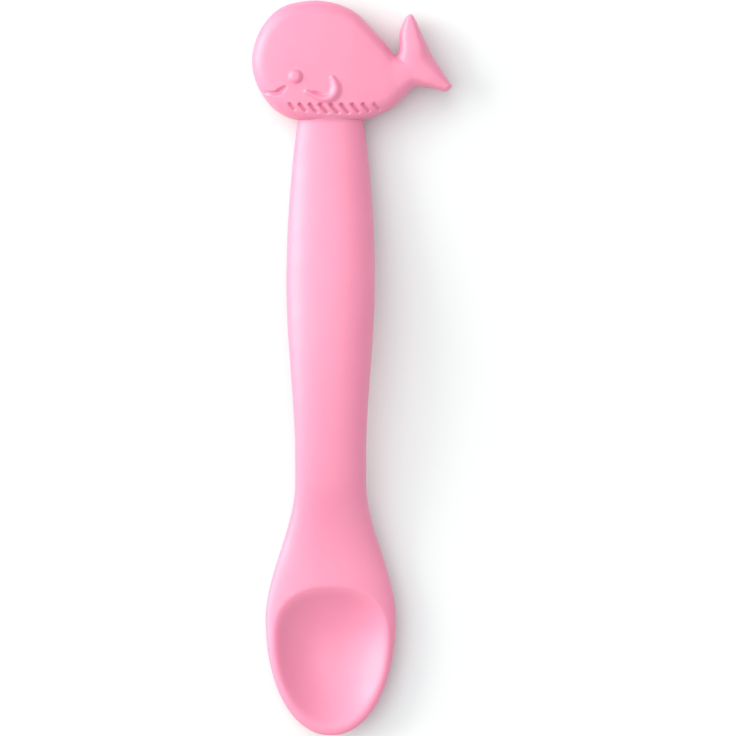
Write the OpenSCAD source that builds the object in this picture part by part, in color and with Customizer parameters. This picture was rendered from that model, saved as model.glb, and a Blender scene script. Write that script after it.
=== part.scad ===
// A baby spoon: a soft silicone spoon moulded round a bent stiffener, with a silicone whale on its end.
// Millimetres. The spoon lies on its back, bowl up, with its length along Y and the whale at +Y.
// The origin is on the whale's flat back, at half the whale's height, on the handle's centre line.

/* [Whale] */
// Width of the whale, from its nose to the tip of its lower fluke
whale_w = 38; // [34:0.5:44]
// Height of the whale, from its belly to the top of its head
whale_h = 23.1; // [21.5:0.1:27.5]
// Thickness of the whale, from its flat back to the crown of its face
whale_t = 9.4; // [9:0.2:12]
// Radius of the rounded edge between the whale's side and its face
edge_r = 2.7; // [2:0.1:3.2]
// How much higher the middle of the face is than its edge
face_dome = 0.55; // [0.3:0.05:0.9]
// How much of the rounded back the flat rest face takes off
back_cut = 0.4; // [0.3:0.1:0.8]
// Length of the handle's end that sits inside the whale
tenon_len = 3.5; // [3:0.25:4.5]

/* [Face] */
// Radius of the ball that the eye is a cap of
eye_r = 2; // [1.7:0.1:2.3]
// Height of the eye above the face
eye_rise = 0.65; // [0.5:0.05:0.9]
// Width of the smile line
smile_w = 1.2; // [0.8:0.1:1.6]
// Depth of the smile line
smile_d = 0.5; // [0.3:0.05:0.7]
// Width of the flipper's ridge at its widest
flipper_w = 2.1; // [1.6:0.1:2.4]
// Height of the flipper above the body
flipper_rise = 0.65; // [0.4:0.05:0.8]
// Width of the crease along the flipper
crease_w = 0.6; // [0.4:0.1:0.8]
// Depth of the crease along the flipper
crease_d = 0.3; // [0.2:0.05:0.4]
// Number of throat pleats
pleats = 9; // [5:1:10]
// Distance from one throat pleat to the next
pleat_pitch = 2; // [1.7:0.05:2.1]
// Width of a throat pleat
pleat_w = 0.9; // [0.6:0.1:1.1]
// Depth of a throat pleat
pleat_d = 0.5; // [0.3:0.05:0.6]
// Length of a throat pleat up the belly
pleat_len = 1.4; // [1.1:0.1:1.7]

/* [Handle] */
// Width of the handle where it meets the whale
handle_top_w = 12.6; // [11.5:0.1:14.5]
// Thickness of the handle where it meets the whale
handle_top_t = 7.4; // [6.8:0.1:7.8]
// Width of the handle at its widest
grip_w = 16.8; // [15:0.2:19]
// Thickness of the handle at its thickest
grip_t = 9; // [8:0.2:9.4]
// Width of the neck
neck_w = 13.5; // [12:0.25:15]
// Thickness of the neck
neck_t = 7; // [6.4:0.2:8]
// Length from the whale's belly to the widest part of the handle
upper_grip_len = 31; // [26:0.5:38]
// Length from the widest part of the handle to the neck
lower_grip_len = 32.5; // [26:0.5:40]
// Length of the neck's even stretch
neck_len = 5; // [3:0.5:8]
// Height of the handle's widest line above the table at the top of its arch
arch_z = 9.4; // [8.6:0.2:11]
// Length from the whale's belly to the top of the arch
arch_len = 50; // [44:1:58]
// Length of the upward bend beside the whale
rise_bend_len = 22; // [14:1:28]
// Length of the downward bend past the top of the arch
fall_bend_len = 22; // [14:1:24]
// Length of the level stretch between the arch and the hollow
level_len = 4; // [3:0.5:7]

/* [Bowl] */
// Length from the neck to the widest part of the bowl
shoulder_len = 26; // [24:0.5:32]
// Length from the widest part of the bowl to its tip
nose_len = 22; // [20:0.5:26]
// Width of the bowl
bowl_w = 24.7; // [22:0.25:28]
// Height of the bowl's widest line above the table
bowl_line_z = 4.5; // [4.2:0.1:5.6]
// Height of the bowl's crown above its widest line
bowl_crown = 2.4; // [2:0.1:3]
// Height that the widest line gains from the bowl's middle to its tip
tip_lift = 0.8; // [0.4:0.1:1.6]
// Thickness of the silicone under the deepest point of the hollow
floor_t = 2.5; // [2:0.1:3]
// Width of the rounded rim beside the hollow
rim_w = 1.85; // [1.6:0.05:2.4]
// Width of the rounded rim at the tip
tip_rim_w = 1.4; // [1.2:0.1:1.8]
// Length from the hollow's upper edge to its widest place
hollow_head_len = 9.6; // [8:0.2:11]
// Length from the bowl's widest place to that of the hollow
hollow_drop_len = 3.8; // [2.6:0.2:5]
// Length from the hollow's widest place to its deepest one
deepest_drop_len = 3.4; // [2:0.2:4.4]

/* [Stiffener] */
// Thickness of the stiffener
core_t = 3.4; // [2.6:0.1:3.6]
// Width of the stiffener in the whale's socket and in the neck
core_neck_w = 7; // [6:0.25:7.5]
// Width of the stiffener in the grip
core_grip_w = 9.6; // [8:0.2:10.4]
// Diameter of the stiffener's round plate inside the whale
core_head_d = 13; // [11:0.5:14]
// Diameter of the stiffener's round end in the spoon's shoulder
core_tip_d = 8.8; // [8:0.2:9.6]
// Silicone left between the stiffener's end and the hollow
core_tip_web = 7; // [6:0.5:9]
// Diameter of the anchor holes that the silicone flows through
anchor_d = 3; // [2:0.25:3.5]
// Distance from one anchor hole to the next along the handle
anchor_pitch = 10; // [8:0.5:14]
// Distance from the whale's belly to the first anchor hole in the handle
anchor_lead = 9; // [7:0.5:12]
// Number of anchor holes in the round plate
head_anchors = 3; // [3:1:4]
// Distance from the middle of the round plate to its anchor holes
head_anchor_reach = 3.9; // [3.4:0.1:4.2]

/* [Hidden] */
$fn = 48;

// How far a cut runs past the solid that it opens
overrun = 1;
// Points nearer to each other than this are one point
same_point = 0.00001;

// Colours of the two materials
silicone_pink = [1.0, 0.65, 0.77];
nylon_natural = [0.93, 0.91, 0.86];

// Squareness of the handle's section, of the whale's rounded edge, and of the bowl seen from above
section_power = 2.3;
edge_power = 4;
nose_power = 2.1;
// Share of a narrow place's half width that the whale's edge rounds off
narrow_edge_share = 0.6;
// Squareness of the hollow's outline above and below its widest place
hollow_head_power = 2.35;
hollow_nose_power = 2.05;
// Steepness of the hollow's wall at its upper edge, at its sides and at the tip
head_wall_power = 2.4;
side_wall_power = 2.6;
nose_wall_power = 2;

// Points round each section of the handle, round the hollow, and on each span of the whale's outline
section_points = 48;
hollow_points = 60;
span_points = 4;
// Sections from the bowl's widest place to its tip, and how far round the quarter turn they go
nose_steps = 15;
nose_turn = 88;
// Steps from one place to the next along the face's lines
line_steps = 3;
// Sides of the small tubes that draw the face
tube_sides = 8;

// Places along the spoon
belly_y = -whale_h / 2;
tenon_y = belly_y + tenon_len;
socket_y = belly_y - tenon_len / 2;
grip_y = belly_y - upper_grip_len;
neck_top_y = grip_y - lower_grip_len;
neck_low_y = neck_top_y - neck_len;
arch_y = belly_y - arch_len;
bowl_y = neck_low_y - shoulder_len;
tip_y = bowl_y - nose_len;

// Height of the whale's widest line, where the handle's middle starts
whale_mid_z = whale_t / 2;

// The hollow of the bowl
hollow_y = bowl_y - hollow_drop_len;
hollow_top_y = hollow_y + hollow_head_len;
deepest_y = hollow_y - deepest_drop_len;
hollow_nose_len = hollow_y - tip_y - tip_rim_w;
hollow_half_w = bowl_w / 2 - rim_w;
hollow_d = bowl_crown + bowl_line_z - floor_t;
level_y = hollow_top_y + level_len;

// The stiffener's places along the handle
core_tip_y = hollow_top_y + core_tip_web + core_tip_d / 2;
anchor_room = belly_y - anchor_lead - core_tip_y;
anchor_count = floor(anchor_room / anchor_pitch) + 1;

// The whale's outline, counterclockwise from the back of the head: shares of its width and height from
// the origin, and the place on the inner line that each point faces
outline_shares = [
    [-0.159, 0.488, 0], [-0.267, 0.422, 0], [-0.355, 0.249, 0], [-0.394, 0.015, 0], [-0.363, -0.210, 0],
    [-0.275, -0.403, 0], [-0.141, -0.487, 1], [0.118, -0.493, 2], [0.275, -0.417, 3], [0.359, -0.309, 4],
    [0.420, -0.212, 5], [0.491, -0.215, 6], [0.573, -0.245, 7], [0.606, -0.206, 7], [0.589, -0.158, 7],
    [0.545, -0.050, 6], [0.504, 0.058, 5], [0.480, 0.140, 8], [0.457, 0.222, 9], [0.425, 0.339, 10],
    [0.402, 0.389, 10], [0.371, 0.348, 10], [0.345, 0.236, 9], [0.343, 0.110, 8], [0.327, 0.045, 5],
    [0.301, 0.080, 4], [0.248, 0.192, 3], [0.121, 0.406, 2], [-0.021, 0.493, 1]
];
// The inner line, from the head down the body to the root of the tail and out along both flukes: shares
// of the whale's width, its height and half its thickness
inner_shares = [
    [-0.159, 0.015, 1.00], [-0.040, 0.007, 1.00], [0.105, -0.028, 0.97], [0.246, -0.097, 0.87],
    [0.322, -0.102, 0.80], [0.402, -0.064, 0.76], [0.491, -0.141, 0.72], [0.570, -0.198, 0.62],
    [0.414, 0.093, 0.75], [0.405, 0.205, 0.69], [0.399, 0.335, 0.60]
];
// How far from the deepest point to the edge each loop of the hollow's surface lies
hollow_shares = [0, 0.2, 0.4, 0.56, 0.68, 0.78, 0.86, 0.93, 0.97, 1];
// Where each loop of the whale's surface lies, as shares of the rounded edge and of the face inside it
loop_shares = [
    [0, 0], [0.015, 0], [0.07, 0], [0.18, 0], [0.35, 0], [0.58, 0], [1, 0], [1, 0.35], [1, 1]
];

// The face, in shares of the whale's width and height
eye_shares = [-0.175, -0.130];
smile_shares = [[-0.349, -0.258], [-0.305, -0.262], [-0.272, -0.265], [-0.251, -0.249], [-0.230, -0.222]];
flipper_shares = [
    [0.008, -0.138], [0.021, -0.179], [0.027, -0.229], [0.016, -0.278], [-0.010, -0.309],
    [-0.046, -0.311], [-0.086, -0.283], [-0.121, -0.252]
];
crease_shares = [[-0.092, -0.250], [-0.066, -0.264], [-0.038, -0.278]];
// How the width of each of them swells and fades along its length
smile_width_shares = [0.4, 0.6, 0.9, 1, 0];
flipper_width_shares = [0, 0.75, 1, 1, 0.9, 0.7, 0.55, 0];
crease_width_shares = [0, 1, 0];
// The row of pleats: its middle, how much higher its ends lie, how far each pleat leans, and how much
// shorter the pleats at its ends are
pleat_shares = [0.018, -0.386];
pleat_curve_share = 0.016;
pleat_lean_share = 0.034;
pleat_fade_share = 0.35;

// Value between a and b at share t
function mix(a, b, t) = a * (1 - t) + b * t;
// Share eased in and out
function ease(t) = t * t * (3 - 2 * t);
// Height of a unit superellipse at distance t from its middle
function bulge(t, power) = pow(max(0, 1 - pow(min(1, abs(t)), power)), 1 / power);
// Share of the nose's length that lies between the bowl's widest place and y
function nose_share(y) = max(0, min(1, (bowl_y - y) / nose_len));

// A size along the spoon, from its values at the whale, the grip, the neck and the bowl
function along(y, at_whale, at_grip, at_neck, at_bowl) =
    y >= grip_y ? mix(at_grip, at_whale, pow((y - grip_y) / upper_grip_len, 2))
    : y >= neck_top_y ? mix(at_grip, at_neck, ease((grip_y - y) / lower_grip_len))
    : y >= neck_low_y ? at_neck
    : y >= bowl_y ? mix(at_neck, at_bowl, ease((neck_low_y - y) / shoulder_len))
    : at_bowl * bulge(nose_share(y), nose_power);

// Half width of the spoon, and its height above and below its widest line
function half_w(y) = along(y, handle_top_w, grip_w, neck_w, bowl_w) / 2;
function rise(y) = along(y, handle_top_t / 2, grip_t / 2, neck_t / 2, bowl_crown);
function sag(y) = along(y, handle_top_t / 2, grip_t / 2, neck_t / 2, bowl_line_z);

// Height on two bends that lead from one level to another, at distance t from the start of the first
function bend_z(t, len, first_len, z0, z1) =
    let (slope = 2 * (z1 - z0) / len)
    t < first_len ? z0 + slope * t * t / (2 * first_len)
    : z1 - slope * (len - t) * (len - t) / (2 * (len - first_len));

// Height of the widest line along the spoon
function line_z(y) =
    y >= belly_y ? whale_mid_z
    : y >= arch_y ? bend_z(belly_y - y, arch_len, rise_bend_len, whale_mid_z, arch_z)
    : y >= level_y ? bend_z(arch_y - y, arch_y - level_y, fall_bend_len, arch_z, bowl_line_z)
    : bowl_line_z + tip_lift * pow(nose_share(y), 2);

// Height of the spoon's upper surface, as if the bowl had no hollow
function crown_z(x, y) = line_z(y) + rise(y) * bulge(x / half_w(y), section_power);

// The spoon's section at y
function section(y) = [
    for (k = [0 : section_points - 1])
        let (
            a = 360 * k / section_points,
            reach = sin(a) > 0 ? rise(y) : -sag(y)
        )
            [half_w(y) * cos(a), y, line_z(y) + reach * bulge(cos(a), section_power)]
];
function point_ring(p) = [for (k = [0 : section_points - 1]) p];

// Stations of the sections: even runs down to the bowl, then closer towards the tip
function run(from, to, count) = [for (k = [1 : count]) mix(from, to, k / count)];
tenon_stations = concat([tenon_y], run(tenon_y, belly_y, 2), [socket_y]);
stations = concat(
    tenon_stations,
    run(socket_y, grip_y, 5),
    run(grip_y, neck_top_y, 6),
    run(neck_top_y, bowl_y, 14),
    [for (k = [1 : nose_steps]) bowl_y - nose_len * sin(nose_turn * k / nose_steps)]
);

// A closed surface through rings of as many points each; a ring may shrink to one place
module skin(rings) {
    n = len(rings[0]);
    points = [for (ring = rings) each ring];
    function apart(a, b) = norm(points[a] - points[b]) > same_point;
    faces = [
        for (r = [0 : len(rings) - 2])
            for (k = [0 : n - 1])
                let (a = r * n + k, b = r * n + (k + 1) % n, c = b + n, d = a + n)
                    each concat(
                        apart(a, b) && apart(b, c) && apart(a, c) ? [[a, c, b]] : [],
                        apart(a, c) && apart(c, d) && apart(a, d) ? [[a, d, c]] : []
                    )
    ];
    polyhedron(points = points, faces = faces);
}

// The spoon's outer skin through the sections at these stations, ending at last_y
module spoon_skin(at, last_y) {
    skin(concat(
        [point_ring([0, at[0], line_z(at[0])])],
        [for (y = at) section(y)],
        [point_ring([0, last_y, line_z(last_y)])]
    ));
}

// One loop of the hollow at share s from its deepest point to its edge
function hollow_loop(s, lift) = [
    for (k = [0 : hollow_points - 1])
        let (
            a = 360 * k / hollow_points,
            above = sin(a) > 0,
            power = above ? hollow_head_power : hollow_nose_power,
            edge_x = hollow_half_w * unit_x(a, power),
            edge_y = hollow_y + (above ? hollow_head_len : -hollow_nose_len) * unit_y(a, power),
            sideways = pow(edge_x / norm([edge_x, edge_y - deepest_y]), 2),
            end_power = edge_y > deepest_y ? head_wall_power : nose_wall_power,
            wall_power = mix(end_power, side_wall_power, sideways),
            x = s * edge_x,
            y = deepest_y + s * (edge_y - deepest_y)
        )
            [x, y, crown_z(x, y) - hollow_d * (1 - pow(s, wall_power)) + lift]
];
// Sideways and lengthways reach of a unit superellipse at angle a
function unit_x(a, power) = sign(cos(a)) * pow(abs(cos(a)), 2 / power);
function unit_y(a, power) = pow(abs(sin(a)), 2 / power);

// What the hollow takes out of the bowl, and the air above it
module hollow() {
    skin(concat(
        [for (s = hollow_shares) hollow_loop(s, 0)],
        [hollow_loop(1, overrun), [for (k = [0 : hollow_points - 1]) hollow_loop(0, hollow_d + overrun)[0]]]
    ));
}

// Points of the whale
function outline_control(k) =
    let (row = outline_shares[(k + len(outline_shares)) % len(outline_shares)])
    [row[0] * whale_w, row[1] * whale_h];
function inner_control(k) =
    let (row = inner_shares[inner_index(k)])
    [row[0] * whale_w, row[1] * whale_h, row[2] * whale_mid_z];
// A smooth curve through four places, at share t between the middle two
function spline(a, b, c, d, t) =
    b + (c - a) * t / 2 + (2 * a - 5 * b + 4 * c - d) * t * t / 2 + (3 * b - a - 3 * c + d) * t * t * t / 2;
outline = [
    for (k = [0 : len(outline_shares) - 1])
        for (j = [0 : span_points - 1])
            spline(
                outline_control(k - 1), outline_control(k), outline_control(k + 1), outline_control(k + 2),
                j / span_points
            )
];
// Both sides of the whale meet on the inner line, so each stretch of it is worked out from the same end
function inner_index(k) = outline_shares[k % len(outline_shares)][2];
inner_line = [
    for (k = [0 : len(outline_shares) - 1])
        for (j = [0 : span_points - 1])
            let (a = inner_control(k), b = inner_control(k + 1), t = j / span_points)
                inner_index(k) == inner_index(k + 1) ? a
                : inner_index(k) < inner_index(k + 1) ? mix(a, b, t)
                : mix(b, a, 1 - t)
];
// Share of the way from the outline to the inner line that the rounded edge takes
function edge_share(k) =
    let (reach = norm([inner_line[k][0], inner_line[k][1]] - outline[k]))
    min(edge_r, narrow_edge_share * reach) / reach;
// Height of the whale's surface over its widest line, at share s from the outline to the inner line
function whale_rise(k, s) =
    inner_line[k][2] * pow(1 - pow(1 - min(1, s / edge_share(k)), 2), 1 / edge_power)
    * (1 - face_dome / whale_mid_z * (1 - s) * (1 - s));
function whale_loop(shares, side) = [
    for (k = [0 : len(outline) - 1])
        let (
            s = shares[1] == 1 ? 1 : mix(shares[0] * edge_share(k), 1, shares[1]),
            plan = mix(outline[k], [inner_line[k][0], inner_line[k][1]], s),
            reach = side > 0 ? 1 : -1 - back_cut / whale_mid_z
        )
            [plan[0], plan[1], whale_mid_z + reach * whale_rise(k, s)]
];

// Share along the line from a to b that comes nearest to p
function foot(p, a, b) = max(0, min(1, (p - a) * (b - a) / ((b - a) * (b - a))));
// Height of the whale's face over a place in plan
function face_z(p) =
    let (
        feet = [
            for (k = [0 : len(outline) - 1])
                let (
                    inner = [inner_line[k][0], inner_line[k][1]],
                    s = foot(p, outline[k], inner)
                )
                    [norm(p - mix(outline[k], inner, s)), whale_rise(k, s)]
        ],
        nearest = min([for (f = feet) f[0]]),
        heights = [for (f = feet) if (f[0] <= nearest) f[1]]
    )
    whale_mid_z + heights[0];

// A tube of changing radius along a path of points
function tube_ring(path, k, radius) =
    let (
        ahead = path[min(k + 1, len(path) - 1)] - path[max(k - 1, 0)],
        side = cross([0, 0, 1], ahead) / norm(cross([0, 0, 1], ahead)),
        up = cross(ahead, side) / norm(ahead)
    )
    [
        for (j = [0 : tube_sides - 1])
            let (a = 360 * j / tube_sides)
                path[k] + radius * (cos(a) * side + sin(a) * up)
    ];
module tube(path, radii) {
    last = len(path) - 1;
    skin(concat(
        radii[0] > 0 ? [[for (j = [0 : tube_sides - 1]) path[0]]] : [],
        [for (k = [0 : last]) tube_ring(path, k, radii[k])],
        radii[last] > 0 ? [[for (j = [0 : tube_sides - 1]) path[last]]] : []
    ));
}

// A list with smooth values between its rows
function smooth(rows) =
    let (last = len(rows) - 1)
    concat(
        [
            for (k = [0 : last - 1])
                for (j = [0 : line_steps - 1])
                    spline(rows[max(k - 1, 0)], rows[k], rows[k + 1], rows[min(k + 2, last)], j / line_steps)
        ],
        [rows[last]]
    );

// Plan place from shares of the whale's width and height
function in_whale(shares) = [shares[0] * whale_w, shares[1] * whale_h];
// Radius of the round tool that cuts a groove, or lays a ridge, of this width and depth
function tool_r(width, depth) = (width * width / 4 + depth * depth) / (2 * depth);
// The tool's path over the face, sunk by depth
function face_path(shares, radius, depth) =
    [for (row = shares) let (p = in_whale(row)) [p[0], p[1], face_z(p) + radius - depth]];
function ridge_path(shares, radius, height) =
    [for (row = shares) let (p = in_whale(row)) [p[0], p[1], face_z(p) - radius + height]];

module eye() {
    place = in_whale(eye_shares);
    translate([place[0], place[1], face_z(place) + eye_rise - eye_r])
        sphere(r = eye_r);
}

module smile() {
    r = tool_r(smile_w, smile_d);
    tube(face_path(smooth(smile_shares), r, smile_d), r * smooth(smile_width_shares));
}

module flipper() {
    r = tool_r(flipper_w, flipper_rise);
    tube(ridge_path(smooth(flipper_shares), r, flipper_rise), r * smooth(flipper_width_shares));
}

module crease() {
    r = tool_r(crease_w, crease_d);
    tube(face_path(smooth(crease_shares), r, crease_d), r * smooth(crease_width_shares));
}

// One throat pleat, a short groove that leans across the belly's edge
module pleat(k) {
    r = tool_r(pleat_w, pleat_d);
    step = k - (pleats - 1) / 2;
    side_share = step / ((pleats - 1) / 2);
    middle = [
        pleat_shares[0] * whale_w + step * pleat_pitch,
        (pleat_shares[1] + pleat_curve_share * side_share * side_share) * whale_h
    ];
    fade = 1 - pleat_fade_share * side_share * side_share;
    lean = fade / 2 * [pleat_lean_share * whale_w, -pleat_len];
    plan = [for (t = [-1.4, -0.7, 0.7, 1.4]) middle + t * lean];
    path = [for (p = plan) [p[0], p[1], face_z(p) + r - pleat_d]];
    tube(path, r * [0, 1, 1, 0]);
}

// The whale's rounded body, before its back is cut flat
module whale_body() {
    skin(concat(
        [for (k = [len(loop_shares) - 1 : -1 : 1]) whale_loop(loop_shares[k], -1)],
        [for (s = loop_shares) whale_loop(s, 1)]
    ));
}

// What lies below the table
module table() {
    reach = whale_w + whale_h;
    translate([-reach / 2, -reach / 2, -whale_t])
        cube([reach, reach, whale_t]);
}

// Height of the middle of the spoon's thickness, which the stiffener follows
function core_z(y) = line_z(y) + (rise(y) - sag(y)) / 2;
// The stiffener's side view: a strip of even thickness
core_stations = concat(
    [core_head_d / 2],
    run(belly_y + overrun, arch_y, 14),
    run(arch_y, level_y, 10),
    run(level_y, hollow_top_y, 2)
);
module core_side_view() {
    polygon(concat(
        [for (y = core_stations) [y, core_z(y) + core_t / 2]],
        [
            for (k = [len(core_stations) - 1 : -1 : 0])
                let (y = core_stations[k])
                    [y, core_z(y) - core_t / 2]
        ]
    ));
}

// The stiffener's outline seen from above
module core_plan() {
    circle(d = core_head_d);
    polygon([
        [-core_neck_w / 2, 0], [-core_neck_w / 2, belly_y], [-core_grip_w / 2, grip_y],
        [-core_neck_w / 2, neck_top_y], [-core_neck_w / 2, core_tip_y],
        [core_neck_w / 2, core_tip_y], [core_neck_w / 2, neck_top_y],
        [core_grip_w / 2, grip_y], [core_neck_w / 2, belly_y], [core_neck_w / 2, 0]
    ]);
    translate([0, core_tip_y])
        circle(d = core_tip_d);
}

// The holes that the silicone flows through
module anchor_holes() {
    for (k = [0 : anchor_count - 1])
        translate([0, belly_y - anchor_lead - k * anchor_pitch, -overrun])
            cylinder(d = anchor_d, h = arch_z + whale_t);
    for (k = [0 : head_anchors - 1])
        rotate([0, 0, 90 + 360 * k / head_anchors])
            translate([head_anchor_reach, 0, -overrun])
                cylinder(d = anchor_d, h = arch_z + whale_t);
}

// The stiffener as a solid, also used to leave its room in the silicone
module core_solid() {
    difference() {
        intersection() {
            rotate([90, 0, 90])
                linear_extrude(2 * core_head_d, center = true)
                    core_side_view();
            translate([0, 0, -overrun])
                linear_extrude(arch_z + whale_t)
                    core_plan();
        }
        anchor_holes();
    }
}

// Bowl, neck and handle in one silicone moulding, with the stiffener's room inside
module spoon_jacket() {
    color(silicone_pink)
        difference() {
            spoon_skin(stations, tip_y);
            hollow();
            core_solid();
        }
}

// The silicone whale, with its socket for the handle's end and its room for the stiffener's plate
module whale_topper() {
    color(silicone_pink)
        difference() {
            union() {
                whale_body();
                eye();
                flipper();
            }
            smile();
            crease();
            for (k = [0 : pleats - 1])
                pleat(k);
            table();
            spoon_skin(tenon_stations, socket_y);
            core_solid();
        }
}

// The rigid nylon stiffener
module stiffener_core() {
    color(nylon_natural)
        core_solid();
}

spoon_jacket();
whale_topper();
stiffener_core();
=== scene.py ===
"""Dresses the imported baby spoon: pink silicone skins, a nylon stiffener, and a pale studio table."""

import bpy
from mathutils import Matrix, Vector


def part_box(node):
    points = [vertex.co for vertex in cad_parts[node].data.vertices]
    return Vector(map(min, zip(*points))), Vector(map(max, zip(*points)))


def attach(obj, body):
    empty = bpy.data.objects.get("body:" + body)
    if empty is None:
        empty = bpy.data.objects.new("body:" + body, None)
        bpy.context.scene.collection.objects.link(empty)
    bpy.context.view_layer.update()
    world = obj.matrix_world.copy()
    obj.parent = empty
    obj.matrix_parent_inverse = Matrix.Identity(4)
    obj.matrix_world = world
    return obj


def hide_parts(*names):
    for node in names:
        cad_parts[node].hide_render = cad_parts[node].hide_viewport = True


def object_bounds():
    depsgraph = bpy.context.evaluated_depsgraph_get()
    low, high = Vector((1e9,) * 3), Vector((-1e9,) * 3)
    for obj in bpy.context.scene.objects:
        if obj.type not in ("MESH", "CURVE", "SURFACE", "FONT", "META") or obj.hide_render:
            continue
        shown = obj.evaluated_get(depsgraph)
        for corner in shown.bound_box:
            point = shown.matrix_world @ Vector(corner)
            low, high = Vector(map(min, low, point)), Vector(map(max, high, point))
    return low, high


bl_info = {
    "name": "Baby Spoon",
    "version": (1, 0, 0),
    "blender": (4, 5, 0),
    "location": "3D View > Sidebar > Baby Spoon",
    "description": "Builds a silicone baby spoon with a whale on its end, over its CAD frame",
    "category": "Add Mesh",
}

import bmesh
import bpy
import numpy as np
from bpy.props import FloatProperty, FloatVectorProperty, IntProperty, PointerProperty
from bpy.types import Operator, Panel, PropertyGroup
from mathutils import Vector

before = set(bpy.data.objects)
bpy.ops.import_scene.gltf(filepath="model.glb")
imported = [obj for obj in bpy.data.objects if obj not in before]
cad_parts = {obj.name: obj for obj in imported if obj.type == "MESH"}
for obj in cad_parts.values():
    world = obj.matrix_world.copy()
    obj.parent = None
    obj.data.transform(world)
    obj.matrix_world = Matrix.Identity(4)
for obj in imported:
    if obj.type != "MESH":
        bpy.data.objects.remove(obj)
CAD_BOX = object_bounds()
JACKET_LOW, JACKET_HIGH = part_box("spoon_jacket")
WHALE_LOW, WHALE_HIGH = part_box("whale_topper")

MM = 0.001
# Points closer than this are one point
JOIN_DISTANCE = 0.001 * MM
# Keeps a divisor away from nought
TINY = 1e-9


# Sizes and colours


def length(name, description, default):
    """A length in the panel, in metres."""
    return FloatProperty(name=name, description=description, default=default, unit="LENGTH")


class SpoonSizes(PropertyGroup):
    """Sizes of the handle and the bowl."""

    handle_top_width: length(
        "Handle width at the whale", "Width of the handle where it goes into the whale", 12.6 * MM
    )
    handle_top_thickness: length(
        "Handle thickness at the whale", "Thickness of the handle where it goes into the whale", 7.4 * MM
    )
    handle_top_rise: length(
        "Handle rise at the whale", "Height of the handle's crown above its widest line", 3.2 * MM
    )
    corner_start: length(
        "Corner start", "Distance below the whale's belly at which the corner starts", 0.25 * MM
    )
    corner_length: length("Corner length", "Length of the hollow corner under the whale's belly", 1.15 * MM)
    corner_rise: length("Corner rise", "Height of the hollow corner under the whale's belly", 0.5 * MM)
    grip_width: length("Grip width", "Width of the handle at its widest", 16.8 * MM)
    grip_thickness: length("Grip thickness", "Thickness of the handle at its thickest", 9.0 * MM)
    neck_width: length("Neck width", "Width of the slim neck above the bowl", 13.5 * MM)
    neck_thickness: length("Neck thickness", "Thickness of the neck", 7.0 * MM)
    upper_grip_length: length(
        "Upper grip length", "Length from the whale's belly to the widest part of the handle", 31.0 * MM
    )
    neck_length: length("Neck length", "Length of the neck's even stretch", 5.0 * MM)
    shoulder_length: length(
        "Shoulder length", "Length from the neck to the widest part of the bowl", 26.0 * MM
    )
    nose_length: length("Nose length", "Length from the widest part of the bowl to its tip", 22.0 * MM)
    bowl_width: length(
        "Bowl width", "Width of the bowl, as wide as the solid it covers", JACKET_HIGH.x - JACKET_LOW.x
    )
    arch_height: length(
        "Arch height", "Height of the handle's widest line above the table at the top of its arch", 9.38 * MM
    )
    arch_reach: length(
        "Arch reach", "Length from the whale's belly to the top of the handle's arch", 50.0 * MM
    )
    rise_bend: length("Rise bend", "Length of the upward bend beside the whale", 22 * MM)
    fall_bend: length("Fall bend", "Length of the downward bend past the top of the arch", 22 * MM)
    level_length: length(
        "Level length", "Length of the level stretch between the arch and the hollow", 4 * MM
    )
    bowl_line_height: length("Bowl line height", "Height of the bowl's widest line above the table", 4.5 * MM)
    bowl_crown: length("Bowl crown", "Height of the bowl's crown above its widest line", 2.4 * MM)
    tip_lift: length("Tip lift", "How much higher the widest line is at the tip", 0.8 * MM)
    floor_thickness: length(
        "Bowl floor thickness", "Silicone under the deepest point of the hollow", 2.5 * MM
    )
    rim_width: length("Rim width", "Width of the rounded rim beside the hollow", 1.85 * MM)
    tip_rim_width: length("Tip rim width", "Width of the rounded rim at the tip", 1.4 * MM)
    hollow_head_length: length(
        "Hollow head length", "Length from the hollow's upper edge to its widest place", 9.6 * MM
    )
    hollow_drop: length("Hollow drop", "Length from the bowl's widest place to that of the hollow", 3.8 * MM)
    deepest_drop: length(
        "Deepest drop", "Distance from the hollow's widest place to its deepest one", 3.4 * MM
    )
    rim_rounding: length("Rim rounding", "How softly the rim rounds over into the hollow", 0.95 * MM)


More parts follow.
